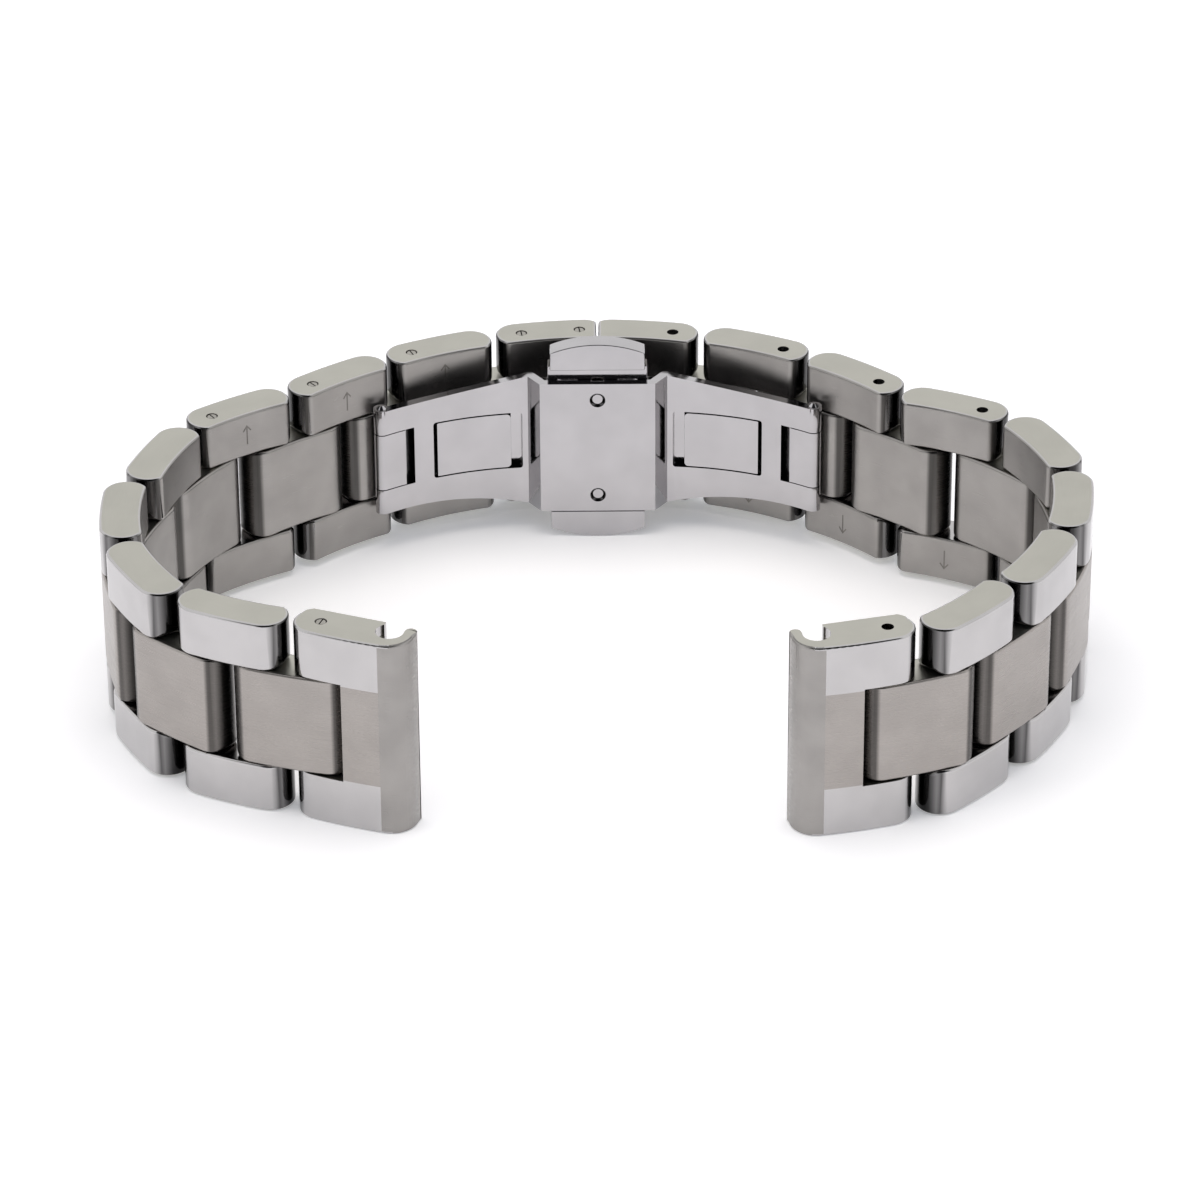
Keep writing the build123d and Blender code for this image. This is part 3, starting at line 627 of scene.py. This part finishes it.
    # painted shade on the pin end, where the first side plates meet it
    dress(piece, choose, lambda x: nearness(min(out * x, 0), SIDE_SHADE_FROM, reach))
    pin = pin_point(side, 16)
    bar = Vector(mounts[side + "_spring_bar_bore"]["pos_m"][:2] + [0])
    across = bar - pin
    turn = atan2(across.y, across.x) - atan2(bar_y, out * (bar_x + PIN_SPACING / 2))
    place = Matrix.Translation((pin.x, pin.y, MID_HEIGHT * MM)) @ Matrix.Rotation(turn, 4, "Z")
    place = place @ Matrix.Translation((-pin_x * MM, 0, 0))
    lay(piece, place, side + "_end", [side + "_end_link"])


def recessed(polygon):
    """Whether a face is a wall of the clasp's windows or slots or of a guide pin's sink, which gets painted shade.
    """
    across = abs(polygon.center.x / MM - CLASP_MID)
    rise = abs(polygon.center.z / MM - MID_HEIGHT)
    if WINDOW_FROM - PLAY < across < SLOT_TO and rise < WINDOW_HALF_HEIGHT + PLAY:
        return abs(polygon.normal.y) < 0.6
    return hypot(across, rise - GUIDE_HEIGHT) < GUIDE_SINK_RADIUS + PLAY and polygon.normal.y > -0.95


def shade_node(name, material, edge=0.0, behind=None):
    """Give a node of the frame its steel and grain, painted shade on the clasp's recess walls, and round its edges
    with modifiers.

    Faces further out than behind are part of the works that the wrist's side hides; their darker steel is painted
    shade.
    """
    node = frame["nodes"][name]
    mesh = node.data
    mesh.materials.clear()
    mesh.materials.append(material)
    mesh.materials.append(shaded_works)
    grain = mesh.uv_layers.new(name="grain")
    depth = mesh.uv_layers.new(name="gap", do_init=False)
    for polygon in mesh.polygons:
        # the button's works get the darker steel, as painted shade
        polygon.material_index = int(behind is not None and polygon.center.y > behind)
        upright = abs(polygon.normal.z) < 0.7
        # painted shade on the walls of the clasp's windows, slots and sinks
        sunk = SUNK_SHADE if name in RECESSED and recessed(polygon) else 0.0
        for corner in polygon.loop_indices:
            x, y, z = mesh.vertices[mesh.loops[corner].vertex_index].co / MM
            grain.data[corner].uv = (x, z) if upright else (x, y)
            depth.data[corner].uv = (sunk, 0.0)
    if edge:
        weld = node.modifiers.new("weld", "WELD")
        weld.merge_threshold = MESH_TOUCH * MM
        facets = node.modifiers.new("facets", "DECIMATE")
        facets.decimate_type = "DISSOLVE"
        facets.angle_limit = radians(0.6)
        bevel = node.modifiers.new("edges", "BEVEL")
        bevel.width = edge * MM
        bevel.segments = 2
        bevel.limit_method = "ANGLE"
        bevel.angle_limit = radians(SHARP)
        mesh.shade_smooth()
        even(node)


plate_low, plate_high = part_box("clasp_base_plate")
CLASP_MID = (plate_low.x + plate_high.x) / 2 / MM
for side_name in ("left", "right"):
    for pair_number in range(1, PAIRS + 1):
        side_links(side_name, pair_number)
        centre_piece(side_name, pair_number)
        shade_node(side_name + "_pins_" + str(pair_number), wire)
    end_piece(side_name)
    shade_node(side_name + "_end_pin", wire)
    shade_node(side_name + "_clasp_arm", mirror, FINE_ROUND)
shade_node("clasp_base_plate", mirror, FINE_ROUND)
for node_name in ("upper_button", "lower_button"):
    push_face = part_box(node_name)[0].y
    shade_node(node_name, mirror, FINE_ROUND, push_face + BUTTON_DEPTH * MM)
shade_node("clasp_pins", mirror)
for node_name in ("upper_spring", "lower_spring"):
    shade_node(node_name, wire)

# The upper spring is copied into an object of its own, tied to the clasp's base, in place of its node
coil = bpy.data.objects.new("upper_button_coil", frame["nodes"]["upper_spring"].data.copy())
bpy.context.scene.collection.objects.link(coil)
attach(coil, "clasp_base")
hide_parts("upper_spring")
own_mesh(coil)

# Table and light
DARK_WAY = (0.0, -0.707, 0.707)  # to the unlit part of the room, above and in front of the bracelet
FLOOR_HALF = 6.0  # metres
floor_material = bpy.data.materials.new("white table")
floor_material.use_nodes = True
top = floor_material.node_tree
top.nodes.clear()
lacquer = add(top, "ShaderNodeBsdfPrincipled", Base_Color=colour("#FBFBFB"), Roughness=0.85)
glow = add(top, "ShaderNodeEmission", Color=colour("#FFFFFF"), Strength=0.2)
lifted = add(top, "ShaderNodeAddShader", [(0, lacquer.outputs[0]), (1, glow.outputs[0])])
table = add(top, "ShaderNodeMixShader", [(0, looked_at(top))])
top.links.new(lacquer.outputs[0], table.inputs[1])
top.links.new(lifted.outputs[0], table.inputs[2])
table_out = add(top, "ShaderNodeOutputMaterial")
top.links.new(table.outputs[0], table_out.inputs["Surface"])
floor_mesh = bpy.data.meshes.new("table")
floor_corners = rectangle(-FLOOR_HALF, FLOOR_HALF, -FLOOR_HALF, FLOOR_HALF)
floor_mesh.from_pydata([(x, y, 0) for x, y in floor_corners], [], [(0, 1, 2, 3)])
floor_mesh.materials.append(floor_material)
floor = bpy.data.objects.new("table", floor_mesh)
bpy.context.scene.collection.objects.link(floor)

world = bpy.data.worlds.new("studio")
bpy.context.scene.world = world
world.use_nodes = True
sky = world.node_tree
sky.nodes.clear()
way = add(sky, "ShaderNodeTexCoord")
nearby = add(sky, "ShaderNodeVectorMath", [(0, way.outputs["Generated"])], operation="DOT_PRODUCT")
nearby.inputs[1].default_value = DARK_WAY
ramp = add(sky, "ShaderNodeValToRGB", [("Fac", nearby.outputs["Value"])])
for position, code in ((0.72, "#FFFFFF"), (0.80, "#7C7C7E"), (0.86, "#222224")):
    stop = ramp.color_ramp.elements.new(position)
    stop.color = colour(code)
ramp.color_ramp.elements.remove(ramp.color_ramp.elements[0])
ramp.color_ramp.elements.remove(ramp.color_ramp.elements[-1])
background = add(sky, "ShaderNodeBackground", [("Color", ramp.outputs["Color"])], Strength=1.0)
soft = add(sky, "ShaderNodeBackground", Color=colour("#E6EDFC"), Strength=0.6)
shown = add(sky, "ShaderNodeMixShader", [(0, looked_at(sky))])
sky.links.new(soft.outputs[0], shown.inputs[1])
sky.links.new(background.outputs[0], shown.inputs[2])
sky_out = add(sky, "ShaderNodeOutputWorld")
sky.links.new(shown.outputs[0], sky_out.inputs["Surface"])


def softbox(name, spot, size, power):
    """Square area lamp that faces the middle of the bracelet."""
    lamp = bpy.data.lights.new(name, "AREA")
    lamp.size = size
    lamp.energy = power
    lamp.color = colour("#FFF6EC")[:3]
    light = bpy.data.objects.new(name, lamp)
    light.location = spot
    aim = Vector((0, 0, MID_HEIGHT * MM)) - Vector(spot)
    light.rotation_euler = aim.to_track_quat("-Z", "Y").to_euler()
    light.visible_glossy = False
    bpy.context.scene.collection.objects.link(light)


softbox("overhead softbox", (0.0, 0.05, 0.9), 0.8, 4.6)
softbox("left softbox", (-0.8, -0.25, 0.5), 0.5, 1.7)
softbox("right softbox", (0.8, -0.15, 0.5), 0.5, 0.8)

# Camera at the photograph's angle
LENS_DISTANCE = 573.45 * MM
LENS_RISE = radians(30.53)
LENS_ROLL = radians(-0.36)
AIM = Vector((0.105, 9.993, 0.0)) * MM
camera_data = bpy.data.cameras.new("camera")
camera_data.sensor_width = 36.0
camera_data.lens = 176.75
camera = bpy.data.objects.new("camera", camera_data)
camera.location = AIM + Vector((0, -cos(LENS_RISE), sin(LENS_RISE))) * LENS_DISTANCE
tilt = Matrix.Rotation(pi / 2 - LENS_RISE, 3, "X") @ Matrix.Rotation(LENS_ROLL, 3, "Z")
camera.rotation_euler = tilt.to_euler()
bpy.context.scene.collection.objects.link(camera)
bpy.context.scene.camera = camera
bpy.context.scene.view_settings.view_transform = "Standard"
